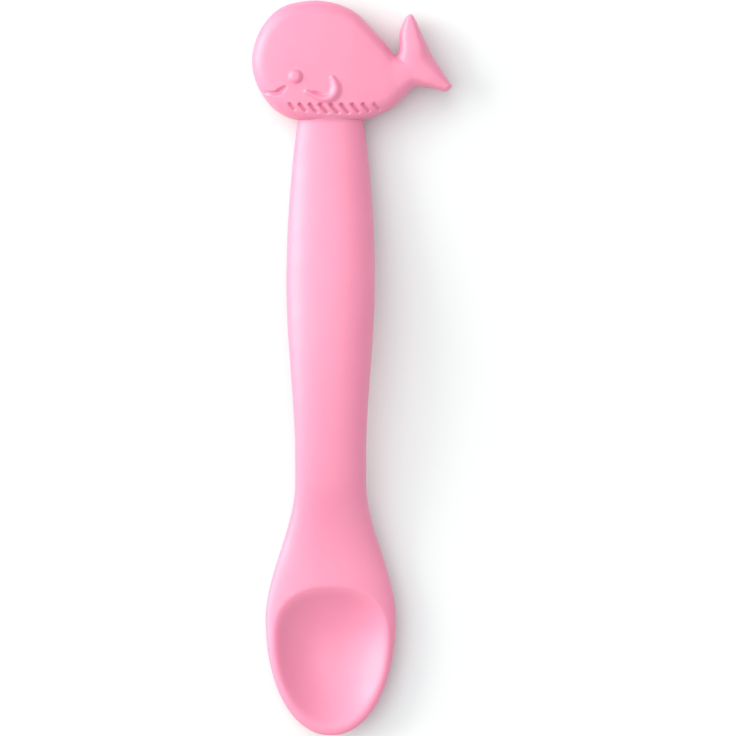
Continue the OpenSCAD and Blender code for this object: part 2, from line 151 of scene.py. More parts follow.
class WhaleSizes(PropertyGroup):
    """Sizes of the whale and of its face."""

    width: length(
        "Whale width", "Width of the whale from its nose to its lower fluke", WHALE_HIGH.x - WHALE_LOW.x
    )
    height: length("Whale height", "Height of the whale from its belly to the top of its head", 23.1 * MM)
    thickness: length("Whale thickness", "Thickness of the whale from its flat back to its face", 9.4 * MM)
    edge_radius: length(
        "Edge radius", "Radius of the rounded edge between the whale's side and its face", 2.7 * MM
    )
    face_dome: length("Face dome", "How much higher the middle of the face is than its edge", 0.6 * MM)
    back_cut: length("Back cut", "How much of the rounded back the flat rest face takes off", 0.4 * MM)
    eye_radius: length("Eye radius", "Radius of the ball of the eye", 1.6 * MM)
    eye_rise: length("Eye rise", "Height of the eye above the face", 0.75 * MM)
    smile_width: length("Smile width", "Width of the smile's groove", 1.5 * MM)
    smile_depth: length("Smile depth", "Depth of the smile's groove", 0.65 * MM)
    flipper_width: length("Flipper width", "Width of the flipper at its bend", 2.3 * MM)
    flipper_rise: length("Flipper rise", "Height of the flipper above the body", 0.65 * MM)
    crease_width: length("Crease width", "Width of the crease beside the flipper", 0.65 * MM)
    crease_depth: length("Crease depth", "Depth of the crease beside the flipper", 0.35 * MM)
    pleats: IntProperty(
        name="Throat pleats", description="Number of grooves along the belly", default=9, min=2, max=14
    )
    pleat_pitch: length("Pleat pitch", "Distance between two pleats", 2.0 * MM)
    pleat_width: length("Pleat width", "Width of one pleat", 0.8 * MM)
    pleat_depth: length("Pleat depth", "Depth of one pleat", 0.9 * MM)
    pleat_length: length("Pleat length", "Length of a pleat up the belly", 1.5 * MM)


class Finish(PropertyGroup):
    """Colours and surface of the two materials."""

    silicone: FloatVectorProperty(
        name="Silicone", description="Colour of the silicone", subtype="COLOR", default=(0.79, 0.248, 0.397)
    )
    silicone_deep: FloatVectorProperty(
        name="Silicone, deeper", description="Colour of the silicone's darker clouds", subtype="COLOR",
        default=(0.76, 0.23, 0.377),
    )
    silicone_roughness: FloatProperty(
        name="Silicone roughness", description="Roughness of the satin surface", default=0.46, min=0, max=1,
    )
    glow: FloatProperty(
        name="Glow", description="How much light goes into the silicone and comes out again", default=0.35,
        min=0, max=1,
    )
    glow_depth: length("Glow depth", "How far light travels in the silicone", 1.6 * MM)
    nylon: FloatVectorProperty(
        name="Nylon", description="Colour of the stiffener", subtype="COLOR", default=(0.85, 0.81, 0.71)
    )
    table: FloatVectorProperty(
        name="Table", description="Colour of the table top", subtype="COLOR", default=(0.79, 0.82, 0.822)
    )


class Studio(PropertyGroup):
    """Camera and lights."""

    view_width: length("View width", "Width of the table that the picture shows", 139.9 * MM)
    view_x: length("View middle, across", "Middle of the picture across the spoon", 7.09 * MM)
    view_y: length("View middle, along", "Middle of the picture along the spoon", -58.25 * MM)
    lens: FloatProperty(name="Lens", description="Focal length in millimetres", default=500)
    key_power: FloatProperty(name="Key light", description="Power of the big light at the left", default=40.5)
    key_size: length("Key light size", "Diameter of the big light at the left", 1.8)
    key_colour: FloatVectorProperty(
        name="Key light colour", description="Colour of the big light, slightly warm", subtype="COLOR",
        default=(1.0, 1.0, 0.87), min=0, max=1,
    )
    top_power: FloatProperty(name="Top light", description="Power of the light overhead", default=34.5)
    top_size: length("Top light size", "Diameter of the light overhead", 3.0)
    sky_strength: FloatProperty(name="Sky", description="Strength of the light from all round", default=0.66)


class SpoonSettings(PropertyGroup):
    """Everything that the panel shows."""

    spoon: PointerProperty(type=SpoonSizes)
    whale: PointerProperty(type=WhaleSizes)
    finish: PointerProperty(type=Finish)
    studio: PointerProperty(type=Studio)


# Shared curves and mesh helpers


def bulge(t, power):
    """Height of a unit superellipse at distance t from its middle."""
    return np.clip(1 - np.clip(np.abs(t), 0, 1) ** power, 0, 1) ** (1 / power)


def ease(t):
    """A share eased in and out."""
    return t * t * (3 - 2 * t)


def soft_floor(height, softness):
    """The height where it is above nought and nought elsewhere, with a rounded corner between."""
    return (height + np.sqrt(height * height + softness * softness)) / 2


def rounded_floor(height, softness):
    """The height where it is well above nought and nought where it is well below, with a round corner."""
    corner = (height + softness) ** 2 / (4 * softness)
    return np.where(height > softness, height, np.where(height < -softness, 0, corner))


def sheet_faces(index):
    """Faces of a grid of vertex numbers. A corner that is named twice makes a triangle."""
    corners = np.stack([index[:-1, :-1], index[:-1, 1:], index[1:, 1:], index[1:, :-1]], -1)
    faces = []
    for quad in corners.reshape(-1, 4).tolist():
        face = [v for k, v in enumerate(quad) if v != quad[k - 1]]
        if len(face) > 2:
            faces.append(face)
    return faces


def add_piece(name, points, faces):
    """A smooth mesh object in the scene, with its faces turned outwards."""
    mesh = bpy.data.meshes.new(name)
    mesh.from_pydata(points.tolist(), [], faces)
    work = bmesh.new()
    work.from_mesh(mesh)
    bmesh.ops.remove_doubles(work, verts=work.verts, dist=JOIN_DISTANCE)
    bmesh.ops.dissolve_degenerate(work, dist=JOIN_DISTANCE, edges=work.edges)
    bmesh.ops.recalc_face_normals(work, faces=work.faces)
    for face in work.faces:
        face.smooth = True
    work.to_mesh(mesh)
    work.free()
    piece = bpy.data.objects.new(name, mesh)
    bpy.context.scene.collection.objects.link(piece)
    return piece


# The spoon

# Squareness of the sections, of the bowl's nose and of the hollow's edge: 2 is an ellipse, more is squarer
SECTION_POWER = 2.3
NOSE_POWER = 2.1
HOLLOW_HEAD_POWER = 2.35
HOLLOW_NOSE_POWER = 2.05
# Steepness of the hollow's walls towards the handle, the sides and the tip
HEAD_WALL_POWER = 2.4
SIDE_WALL_POWER = 2.6
NOSE_WALL_POWER = 2.0
# How fast the corner under the whale's belly sinks away inside the whale
CORNER_FALL = 1.5


class SpoonForm:
    """The spoon's shape along its length, from the sizes in the panel."""

    def __init__(self, spoon, whale):
        self.spoon = spoon
        self.belly_y = -whale.height / 2
        self.tenon_y = JACKET_HIGH.y
        self.tip_y = JACKET_LOW.y
        self.bowl_y = self.tip_y + spoon.nose_length
        self.neck_low_y = self.bowl_y + spoon.shoulder_length
        self.neck_top_y = self.neck_low_y + spoon.neck_length
        self.grip_y = self.belly_y - spoon.upper_grip_length
        self.arch_y = self.belly_y - spoon.arch_reach
        self.whale_line_z = whale.thickness / 2
        self.hollow_y = self.bowl_y - spoon.hollow_drop
        self.hollow_top_y = self.hollow_y + spoon.hollow_head_length
        self.deepest_y = self.hollow_y - spoon.deepest_drop
        self.level_y = self.hollow_top_y + spoon.level_length
        self.hollow_nose_length = self.hollow_y - self.tip_y - spoon.tip_rim_width
        self.hollow_half_width = spoon.bowl_width / 2 - spoon.rim_width
        self.hollow_depth = spoon.bowl_crown + spoon.bowl_line_height - spoon.floor_thickness

    def along(self, y, at_whale, at_grip, at_neck, at_bowl):
        """A size along the spoon, from its values at the whale, the grip, the neck and the bowl."""
        upper = (y - self.grip_y) / (self.belly_y - self.grip_y)
        lower = (self.grip_y - y) / (self.grip_y - self.neck_top_y)
        shoulder = (self.neck_low_y - y) / (self.neck_low_y - self.bowl_y)
        nose = (self.bowl_y - y) / (self.bowl_y - self.tip_y)
        return np.select(
            [y >= self.grip_y, y >= self.neck_top_y, y >= self.neck_low_y, y >= self.bowl_y],
            [
                at_grip + (at_whale - at_grip) * upper**2,
                at_grip + (at_neck - at_grip) * ease(lower),
                at_neck + 0 * y,
                at_neck + (at_bowl - at_neck) * ease(shoulder),
            ],
            at_bowl * bulge(nose, NOSE_POWER),
        )

    def half_width(self, y):
        """Half the spoon's width."""
        s = self.spoon
        return self.along(y, s.handle_top_width, s.grip_width, s.neck_width, s.bowl_width) / 2

    def rise(self, y):
        """Height of the crown above the widest line."""
        s = self.spoon
        rise = self.along(y, s.handle_top_rise, s.grip_thickness / 2, s.neck_thickness / 2, s.bowl_crown)
        # The hollow corner under the whale's belly, which sinks away again inside the whale
        t = np.clip((y - self.belly_y + s.corner_start) / s.corner_length, 0, None)
        return rise + s.corner_rise * np.where(t < 1, t * t, 1 - CORNER_FALL * (t - 1))

    def sag(self, y):
        """Depth of the underside below the widest line."""
        s = self.spoon
        return self.along(
            y, s.handle_top_thickness / 2, s.grip_thickness / 2, s.neck_thickness / 2, s.bowl_line_height
        )

    def bend(self, t, reach, first, start, end):
        """Height along two bends that meet in a slope, at distance t from the start of the first."""
        slope = 2 * (end - start) / reach
        return np.where(
            t < first,
            start + slope * t * t / (2 * first),
            end - slope * (reach - t) ** 2 / (2 * (reach - first)),
        )

    def line_z(self, y):
        """Height of the spoon's widest line."""
        s = self.spoon
        nose = np.clip((self.bowl_y - y) / (self.bowl_y - self.tip_y), 0, 1)
        rise = self.bend(self.belly_y - y, s.arch_reach, s.rise_bend, self.whale_line_z, s.arch_height)
        fall_reach = self.arch_y - self.level_y
        fall = self.bend(self.arch_y - y, fall_reach, s.fall_bend, s.arch_height, s.bowl_line_height)
        return np.select(
            [y >= self.belly_y, y >= self.arch_y, y >= self.level_y],
            [self.whale_line_z + 0 * y, rise, fall],
            s.bowl_line_height + s.tip_lift * nose**2,
        )

    def crown_z(self, x, y):
        """Height of the upper surface, as if the bowl had no hollow."""
        return self.line_z(y) + self.rise(y) * bulge(x / np.maximum(self.half_width(y), TINY), SECTION_POWER)

    def hollow_share(self, x, y):
        """How far out a place lies from the middle of the hollow's widest line: 1 is on the hollow's edge."""
        below = y < self.hollow_y
        power = np.where(below, HOLLOW_NOSE_POWER, HOLLOW_HEAD_POWER)
        reach = np.where(below, self.hollow_nose_length, self.spoon.hollow_head_length)
        across = np.abs(x) / self.hollow_half_width
        return (across**power + (np.abs(y - self.hollow_y) / reach) ** power) ** (1 / power)

    def bowl_z(self, x, y, share):
        """Height of the upper surface with the hollow in it, at this share of the way to its edge."""
        softness = self.spoon.rim_rounding / self.hollow_depth
        off = np.hypot(x, y - self.deepest_y)
        sideways = (x / np.maximum(off, TINY)) ** 2
        end_power = np.where(y > self.deepest_y, HEAD_WALL_POWER, NOSE_WALL_POWER)
        power = end_power + (SIDE_WALL_POWER - end_power) * sideways
        return self.crown_z(x, y) - self.hollow_depth * rounded_floor(1 - share**power, softness)

    def hollow_edge(self, x, y):
        """The place on the hollow's edge that lies in the direction of a place outside it."""
        above = y >= self.hollow_y
        power = np.where(above, HOLLOW_HEAD_POWER, HOLLOW_NOSE_POWER)
        reach = np.where(above, self.spoon.hollow_head_length, self.hollow_nose_length)
        angle = np.arctan2((y - self.hollow_y) / reach, x / self.hollow_half_width)
        edge_x = self.hollow_half_width * np.sign(np.cos(angle)) * np.abs(np.cos(angle)) ** (2 / power)
        edge_y = self.hollow_y + reach * np.sign(np.sin(angle)) * np.abs(np.sin(angle)) ** (2 / power)
        return edge_x, edge_y

    def section(self, y, angles):
        """Points of the section at y at these angles round it."""
        across = np.cos(angles)
        reach = np.where(np.sin(angles) > 0, self.rise(y), -self.sag(y))
        x = self.half_width(y) * across
        z = self.line_z(y) + reach * bulge(across, SECTION_POWER)
        return np.stack([x, y + 0 * x, z], -1)


# Points in half a ring, and rows of points along each stretch
HALF_POINTS = 64
CORNER_ROWS = 50
HANDLE_ROWS = 150
SHOULDER_ROWS = 28
NOSE_ROWS = 44
RIM_ROWS = 24
HOLLOW_ROWS = 44


def spoon_mesh(form):
    """Points and faces of the spoon: handle rings, the bowl's underside, and a patch round the hollow."""
    join_y = form.hollow_top_y + form.spoon.hollow_head_length
    round_angles = np.linspace(0, 2 * np.pi, 2 * HALF_POINTS, endpoint=False)
    corner_y = form.belly_y - 2 * form.spoon.corner_start
    handle_y = np.concatenate(
        [np.linspace(form.tenon_y, corner_y, CORNER_ROWS), np.linspace(corner_y, join_y, HANDLE_ROWS)[1:]]
    )
    rings = np.array([form.section(y, round_angles) for y in handle_y])
    ring_index = np.arange(rings.shape[0] * rings.shape[1]).reshape(rings.shape[:2])
    points = [rings.reshape(-1, 3)]
    count = ring_index.size
    closed = np.concatenate([ring_index, ring_index[:, :1]], 1)
    faces = sheet_faces(closed)

    # The end inside the whale
    end = rings[0].mean(0)
    points.append(end[None])
    faces += sheet_faces(np.stack([closed[0], np.full(closed.shape[1], count)]))
    count += 1

    # The bowl's underside, down to one point at the tip
    shoulder_y = np.linspace(join_y, form.bowl_y, SHOULDER_ROWS + 1)[1:]
    turns = np.linspace(0, np.pi / 2, NOSE_ROWS + 1)[1:-1]
    low_y = np.concatenate([shoulder_y, form.bowl_y - form.spoon.nose_length * np.sin(turns)])
    low_angles = np.linspace(np.pi, 2 * np.pi, HALF_POINTS + 1)
    low = np.array([form.section(y, low_angles) for y in low_y])
    low_index = count + np.arange(low.shape[0] * low.shape[1]).reshape(low.shape[:2])
    points.append(low.reshape(-1, 3))
    count += low_index.size
    tip = count
    points.append(np.array([[0, form.tip_y, form.line_z(np.array(form.tip_y))]]))
    count += 1
    first = closed[-1, HALF_POINTS:]
    last = np.full(HALF_POINTS + 1, tip)
    faces += sheet_faces(np.concatenate([first[None], low_index, last[None]]))

    # The upper side of the bowl: loops from its outline in to the hollow's edge, and on to its middle
    border = np.concatenate([closed[-1, : HALF_POINTS + 1], low_index[:, 0], [tip], low_index[::-1, -1]])
    placed = np.concatenate(points)[border]
    edge_x, edge_y = form.hollow_edge(placed[:, 0], placed[:, 1])
    rim = (1 - np.cos(np.linspace(0, np.pi, RIM_ROWS + 1)[1:])) / 2
    inward = np.sin(np.linspace(np.pi / 2, 0, HOLLOW_ROWS + 1)[1:-1])
    loops = []
    for t in rim:
        x = placed[:, 0] * (1 - t) + edge_x * t
        y = placed[:, 1] * (1 - t) + edge_y * t
        loops.append((x, y, form.hollow_share(x, y)))
    for share in inward:
        loops.append((edge_x * share, form.deepest_y + (edge_y - form.deepest_y) * share, share))
    rows = [border]
    for x, y, share in loops:
        points.append(np.stack([x, y, form.bowl_z(x, y, share)], -1))
        rows.append(count + np.arange(len(x)))
        count += len(x)
    deepest = form.bowl_z(np.array(0.0), np.array(form.deepest_y), 0.0)
    points.append(np.array([[0, form.deepest_y, deepest]]))
    rows.append(np.full(len(border), count))
    patch = np.array(rows)
    faces += sheet_faces(np.concatenate([patch, patch[:, :1]], 1))
    return np.concatenate(points), faces


# The whale

# Its outline, counterclockwise from the top of the head: shares of its width and height from the
# origin, and the place on the inner line that each point faces
OUTLINE_SHARES = [
    (-0.159, 0.488, 0), (-0.267, 0.422, 0), (-0.355, 0.249, 0), (-0.394, 0.015, 0), (-0.363, -0.210, 0),
    (-0.275, -0.403, 0), (-0.141, -0.487, 1), (0.118, -0.493, 2), (0.275, -0.417, 3), (0.359, -0.309, 4),
    (0.420, -0.212, 5), (0.491, -0.215, 6), (0.573, -0.245, 7), (0.606, -0.206, 7), (0.589, -0.158, 7),
    (0.545, -0.050, 6), (0.504, 0.058, 5), (0.480, 0.140, 8), (0.457, 0.222, 9), (0.425, 0.339, 10),
    (0.402, 0.389, 10), (0.371, 0.348, 10), (0.345, 0.236, 9), (0.343, 0.110, 8), (0.327, 0.045, 5),
    (0.301, 0.080, 4), (0.248, 0.192, 3), (0.121, 0.406, 2), (-0.021, 0.493, 1),
]
# Its inner line: shares of its width, its height and half its thickness
INNER_SHARES = [
    (-0.159, 0.015, 1.00), (-0.040, 0.007, 1.00), (0.105, -0.028, 0.97), (0.246, -0.097, 0.87),
    (0.322, -0.102, 0.80), (0.402, -0.064, 0.76), (0.491, -0.141, 0.72), (0.570, -0.198, 0.62),
    (0.414, 0.093, 0.75), (0.405, 0.205, 0.69), (0.399, 0.335, 0.60),
]
EYE_SHARES = (-0.175, -0.130)
SMILE_SHARES = [(-0.349, -0.258), (-0.305, -0.262), (-0.272, -0.265), (-0.251, -0.249), (-0.230, -0.222)]
FLIPPER_SHARES = [
    (0.008, -0.138), (0.021, -0.179), (0.027, -0.229), (0.016, -0.278), (-0.010, -0.309),
    (-0.046, -0.311), (-0.086, -0.283), (-0.121, -0.252),
]
CREASE_SHARES = [(-0.092, -0.250), (-0.066, -0.264), (-0.038, -0.278)]
# How the width of each swells and fades along its length
SMILE_WIDTH_SHARES = [0.5, 0.6, 0.8, 1.0, 0.75]
FLIPPER_WIDTH_SHARES = [0.45, 0.75, 1.0, 1.0, 0.85, 0.6, 0.4, 0.48]
CREASE_WIDTH_SHARES = [0.4, 1.0, 0.4]
# The row of pleats: its middle, how much higher it ends at the sides, how far each pleat leans, and how
# much smaller the outermost ones are
PLEAT_SHARES = (0.018, -0.391)
PLEAT_CURVE_SHARE = 0.016
PLEAT_LEAN_SHARE = 0.034
PLEAT_FADE_SHARE = 0.35

# Squareness of the whale's side, and the share of a narrow place's half width that its edges round off
SIDE_POWER = 4
NARROW_EDGE_SHARE = 0.6
# Points from one named point of the outline to the next, and steps from one of a relief line to the next
SPAN_POINTS = 30
LINE_STEPS = 8
# Rows of points on the rounded edge and inside it, on the face and on the flat back
FRONT_ROWS = (30, 56)
BACK_ROWS = (18, 6)
# How closely the rows gather at the widest line and at the start of the face
EDGE_GATHER = 1.7
FACE_GATHER = 1.2
# Smoothing inside the rounded edge: rounds, share of the way to the neighbours' middle, and the width over
# which it sets in
EASING_ROUNDS = 50
EASING_STEP = 0.5
EASING_REACH = 1.2 * MM
# Shape of a rounded ridge or groove, and how softly the eye and the flat back begin
RIDGE_POWER = 1.5
EYE_SOFTNESS = 0.06 * MM
BACK_SOFTNESS = 0.05 * MM
# How many times narrower the smile is below its line, and a pleat's lower end as a share of its upper one
SMILE_LOWER_SCALE = 1.1
PLEAT_LOWER_WIDTH = 0.9
# Share of the half thickness over which the relief fades in
RELIEF_FADE_SHARE = 0.25


def spline(rows, steps, closed):
    """A smooth curve through rows of numbers, with this many steps from one row to the next."""
    rows = np.array(rows, float)
    last = len(rows) - 1
    spans = len(rows) if closed else last
    t = (np.arange(steps) / steps)[:, None]
    made = []
    for k in range(spans):
        if closed:
            a, b, c, d = (rows[(k + j) % len(rows)] for j in (-1, 0, 1, 2))
        else:
            a, b, c, d = (rows[min(max(k + j, 0), last)] for j in (-1, 0, 1, 2))
        made.append(
            b + (c - a) * t / 2 + (2 * a - 5 * b + 4 * c - d) * t**2 / 2 + (3 * b - a - 3 * c + d) * t**3 / 2
        )
    if not closed:
        made.append(rows[last][None])
    return np.concatenate(made)


def whale_lines(whale):
    """The whale's outline, and for each of its points the place on the inner line that it faces."""
    scale = np.array([whale.width, whale.height])
    outline = spline([np.array(row[:2]) * scale for row in OUTLINE_SHARES], SPAN_POINTS, True)
    inner_scale = np.array([whale.width, whale.height, whale.thickness / 2])
    inner = []
    for k, row in enumerate(OUTLINE_SHARES):
        here = np.array(INNER_SHARES[row[2]]) * inner_scale
        there = np.array(INNER_SHARES[OUTLINE_SHARES[(k + 1) % len(OUTLINE_SHARES)][2]]) * inner_scale
        t = (np.arange(SPAN_POINTS) / SPAN_POINTS)[:, None]
        inner.append(here * (1 - t) + there * t)
    return outline, np.concatenate(inner)


def rows_inward(side_rows, face_rows):
    """Rows from the widest line to the inner line: where each lies on the rounded edge, then on the face."""
    edge = np.linspace(0, 1, side_rows + 1) ** EDGE_GATHER
    face = np.linspace(0, 1, face_rows + 1)[1:] ** FACE_GATHER
    return np.concatenate([edge, np.ones(face_rows)]), np.concatenate([np.zeros(side_rows + 1), face])


def eased(points, faces, weight, rounds):
    """The points after each has moved towards its neighbours' middle this many times."""
    edges = np.array([(f[k - 1], v) for f in faces for k, v in enumerate(f)])
    edges = np.unique(np.sort(edges, 1), axis=0)
    a, b = edges.T
    degree = np.bincount(edges.ravel(), minlength=len(points))
    for _ in range(rounds):
        total = np.stack(
            [
                np.bincount(a, points[b, k], len(points)) + np.bincount(b, points[a, k], len(points))
                for k in range(3)
            ],
            -1,
        )
        points = points + weight[:, None] * EASING_STEP * (total / degree[:, None] - points)
    return points


def line_distance(places, path, widths):
    """Each place's distance from a path, the width there, and which side of the path it lies on."""
    best = np.full(len(places), np.inf)
    width = np.zeros(len(places))
    side = np.zeros(len(places))
    for p, q, w0, w1 in zip(path[:-1], path[1:], widths[:-1], widths[1:]):
        step = q - p
        t = np.clip(((places - p) @ step) / (step @ step), 0, 1)
        off = places - p - t[:, None] * step
        distance = np.hypot(off[:, 0], off[:, 1])
        nearer = distance < best
        best = np.where(nearer, distance, best)
        width = np.where(nearer, w0 + (w1 - w0) * t, width)
        side = np.where(nearer, np.sign(step[0] * off[:, 1] - step[1] * off[:, 0]), side)
    return best, width, side


def dome(share):
    """Height of a rounded ridge at this share of its half width from its middle."""
    return np.clip(1 - share * share, 0, 1) ** RIDGE_POWER


def relief(places, whale):
    """How much the face's relief lifts or sinks each place."""
    scale = np.array([whale.width, whale.height])
    lift = np.zeros(len(places))

    eye = np.array(EYE_SHARES) * scale
    off = np.hypot(*(places - eye).T)
    ball = np.sqrt(np.clip(whale.eye_radius**2 - off**2, 0, None)) - (whale.eye_radius - whale.eye_rise)
    outside = np.array(whale.eye_rise - whale.eye_radius)
    lift += soft_floor(ball, EYE_SOFTNESS) - soft_floor(outside, EYE_SOFTNESS)

    def along(shares, width_shares, width):
        """Share of the half width that each place lies from a line, the line's width there, and its side."""
        path = spline([np.array(row) * scale for row in shares], LINE_STEPS, False)
        widths = spline([[w] for w in width_shares], LINE_STEPS, False)[:, 0] * width
        distance, local, side = line_distance(places, path, widths)
        return distance / np.maximum(local / 2, TINY), local / width, side

    # The smile's groove reaches a little less far below its line than above it
    share, size, side = along(SMILE_SHARES, SMILE_WIDTH_SHARES, whale.smile_width)
    share = np.where(side > 0, share, share * SMILE_LOWER_SCALE)
    lift -= whale.smile_depth * size * dome(share)
    share, size, _ = along(FLIPPER_SHARES, FLIPPER_WIDTH_SHARES, whale.flipper_width)
    lift += whale.flipper_rise * np.sqrt(size) * dome(share)
    share, size, _ = along(CREASE_SHARES, CREASE_WIDTH_SHARES, whale.crease_width)
    lift -= whale.crease_depth * size * dome(share)

    middle = (whale.pleats - 1) / 2
    for k in range(whale.pleats):
        side_share = (k - middle) / middle
        x = PLEAT_SHARES[0] * whale.width + (k - middle) * whale.pleat_pitch
        y = (PLEAT_SHARES[1] + PLEAT_CURVE_SHARE * side_share**2) * whale.height
        fade = 1 - PLEAT_FADE_SHARE * side_share**2
        lean = np.array([PLEAT_LEAN_SHARE * whale.width, -whale.pleat_length]) * fade / 2
        ends = np.array([[x, y] - lean, [x, y] + lean])
        distance, size, _ = line_distance(places, ends, [1, PLEAT_LOWER_WIDTH])
        share = distance / (size * whale.pleat_width / 2)
        lift -= fade * size * whale.pleat_depth * dome(share)
    return lift


def whale_mesh(whale):
    """Points and faces of the whale, with its flat back and the relief of its face."""
    outline, inner = whale_lines(whale)
    line_z = whale.thickness / 2
    back_reach = 1 + whale.back_cut / line_z
    reach_in = inner[:, :2] - outline
    width = np.hypot(reach_in[:, 0], reach_in[:, 1])
    radius = np.minimum(whale.edge_radius, NARROW_EDGE_SHARE * width)

    def loop(edge, face, reach):
        """One loop round the whale, at these shares of the rounded edge and of the face inside it."""
        inward = radius * edge + (width - radius) * face
        plan = outline + reach_in * (inward / width)[:, None]
        side = (1 - (1 - edge) ** 2) ** (1 / SIDE_POWER)
        crown = 1 - whale.face_dome / line_z * (1 - inward / width) ** 2
        return np.column_stack([plan, line_z + reach * inner[:, 2] * side * crown]), inward - radius

    loops = [loop(e, f, -back_reach) for e, f in list(zip(*rows_inward(*BACK_ROWS)))[:0:-1]]
    loops += [loop(e, f, 1) for e, f in zip(*rows_inward(*FRONT_ROWS))]
    points = np.concatenate([made[0] for made in loops])
    inside = np.concatenate([made[1] for made in loops])
    index = np.arange(len(points)).reshape(len(loops), len(outline))
    # Both sides meet on the inner line, so its points are joined where they lie together
    keys = np.round(points / JOIN_DISTANCE).astype(np.int64)
    _, first, same = np.unique(keys, axis=0, return_index=True, return_inverse=True)
    same = same.reshape(-1)
    points, inside = points[first], inside[first]
    index = same[index]
    faces = sheet_faces(np.concatenate([index, index[:, :1]], 1))

    weight = np.clip(inside / EASING_REACH, 0, 1)
    points = eased(points, faces, weight, EASING_ROUNDS)
    face_side = points[:, 2] > line_z
    lift = np.where(face_side, relief(points[:, :2], whale), 0)
    lift *= np.clip((points[:, 2] - line_z) / (RELIEF_FADE_SHARE * line_z), 0, 1)
    points[:, 2] = soft_floor(points[:, 2] + lift, BACK_SOFTNESS)
    return np.clip(points, WHALE_LOW, WHALE_HIGH), faces


# Materials

# Noises: waves per metre and detail, and for the grains also how rough the noise is
SILICONE_CLOUDS = (55, 3)
SILICONE_GLOSS = (260, 4)
SILICONE_SWELL = (130, 1)
SILICONE_GRAIN = (5200, 3, 0.6)
NYLON_CLOUDS = (120, 4)
NYLON_GLOSS = (400, 3)
NYLON_GRAIN = (3000, 4, 0.6)
TABLE_GLOSS = (40, 3)
# The range in which nearly all of a noise's values lie
NOISE_RANGE = (0.3, 0.7)
# Bumps: strength and height
SWELL_BUMP = (0.25, 0.05 * MM)
GRAIN_BUMP = (0.3, 0.012 * MM)
NYLON_BUMP = (0.4, 0.02 * MM)
# Reflection of the silicone, how far its roughness wanders, and how far each colour travels in it
SILICONE_IOR = 1.5
SILICONE_SHINE = 1.0
SMOOTHER = 0.04
ROUGHER = 0.05
SILICONE_SCATTER = (1.0, 0.42, 0.5)
# Shade of the nylon's darker clouds, its roughness, how much light goes into it, and how far
NYLON_SHADE = 0.9
NYLON_ROUGHNESS = (0.42, 0.6)
NYLON_GLOW = 0.15
NYLON_SCATTER = (1.0, 0.8, 0.6)
NYLON_GLOW_DEPTH = 1.0 * MM
# Roughness and shine of the table top
TABLE_ROUGHNESS = (0.85, 0.95)
TABLE_SHINE = 0.1


def new_material(name):
    """A material with its node tree, its Principled shader and the object's own coordinates."""
    material = bpy.data.materials.new(name)
    material.use_nodes = True
    tree = material.node_tree
    shader = next(n for n in tree.nodes if n.type == "BSDF_PRINCIPLED")
    place = tree.nodes.new("ShaderNodeTexCoord").outputs["Object"]
    return material, tree, shader, place


def noise(tree, place, scale, detail, roughness=0.5):
    """A noise texture over the object's own coordinates."""
    node = tree.nodes.new("ShaderNodeTexNoise")
    node.inputs["Scale"].default_value = scale
    node.inputs["Detail"].default_value = detail
    node.inputs["Roughness"].default_value = roughness
    tree.links.new(place, node.inputs["Vector"])
    return node.outputs["Fac"]


def ranged(tree, value, low, high):
    """A noise value stretched to run from low to high."""
    node = tree.nodes.new("ShaderNodeMapRange")
    node.inputs["From Min"].default_value = NOISE_RANGE[0]
    node.inputs["From Max"].default_value = NOISE_RANGE[1]
    node.inputs["To Min"].default_value = low
    node.inputs["To Max"].default_value = high
    tree.links.new(value, node.inputs["Value"])
    return node.outputs["Result"]


def clouded(tree, value, first, second):
    """A colour between two, by a noise value."""
    node = tree.nodes.new("ShaderNodeMix")
    node.data_type = "RGBA"
    tree.links.new(value, node.inputs["Factor"])
    colours = [socket for socket in node.inputs if socket.type == "RGBA"]
    colours[0].default_value = (*first, 1)
    colours[1].default_value = (*second, 1)
    return next(socket for socket in node.outputs if socket.type == "RGBA")


def bumped(tree, height, strength, distance, under=None):
    """A bump of this height on top of another."""
    node = tree.nodes.new("ShaderNodeBump")
    node.inputs["Strength"].default_value = strength
    node.inputs["Distance"].default_value = distance
    tree.links.new(height, node.inputs["Height"])
    if under:
        tree.links.new(under, node.inputs["Normal"])
    return node.outputs["Normal"]


def silicone_material(finish):
    """Satin moulded silicone: faint clouds of colour, uneven gloss, and a fine eroded grain."""
    material, tree, shader, place = new_material("satin_silicone")
    clouds = ranged(tree, noise(tree, place, *SILICONE_CLOUDS), 0, 1)
    colour = clouded(tree, clouds, finish.silicone, finish.silicone_deep)
    tree.links.new(colour, shader.inputs["Base Color"])
    low, high = finish.silicone_roughness - SMOOTHER, finish.silicone_roughness + ROUGHER
    gloss = ranged(tree, noise(tree, place, *SILICONE_GLOSS), low, high)
    tree.links.new(gloss, shader.inputs["Roughness"])
    swell = bumped(tree, noise(tree, place, *SILICONE_SWELL), *SWELL_BUMP)
    grain = bumped(tree, noise(tree, place, *SILICONE_GRAIN), *GRAIN_BUMP, swell)
    tree.links.new(grain, shader.inputs["Normal"])
    shader.inputs["IOR"].default_value = SILICONE_IOR
    shader.inputs["Specular IOR Level"].default_value = SILICONE_SHINE
    shader.inputs["Subsurface Weight"].default_value = finish.glow
    shader.inputs["Subsurface Radius"].default_value = SILICONE_SCATTER
    shader.inputs["Subsurface Scale"].default_value = finish.glow_depth
    return material


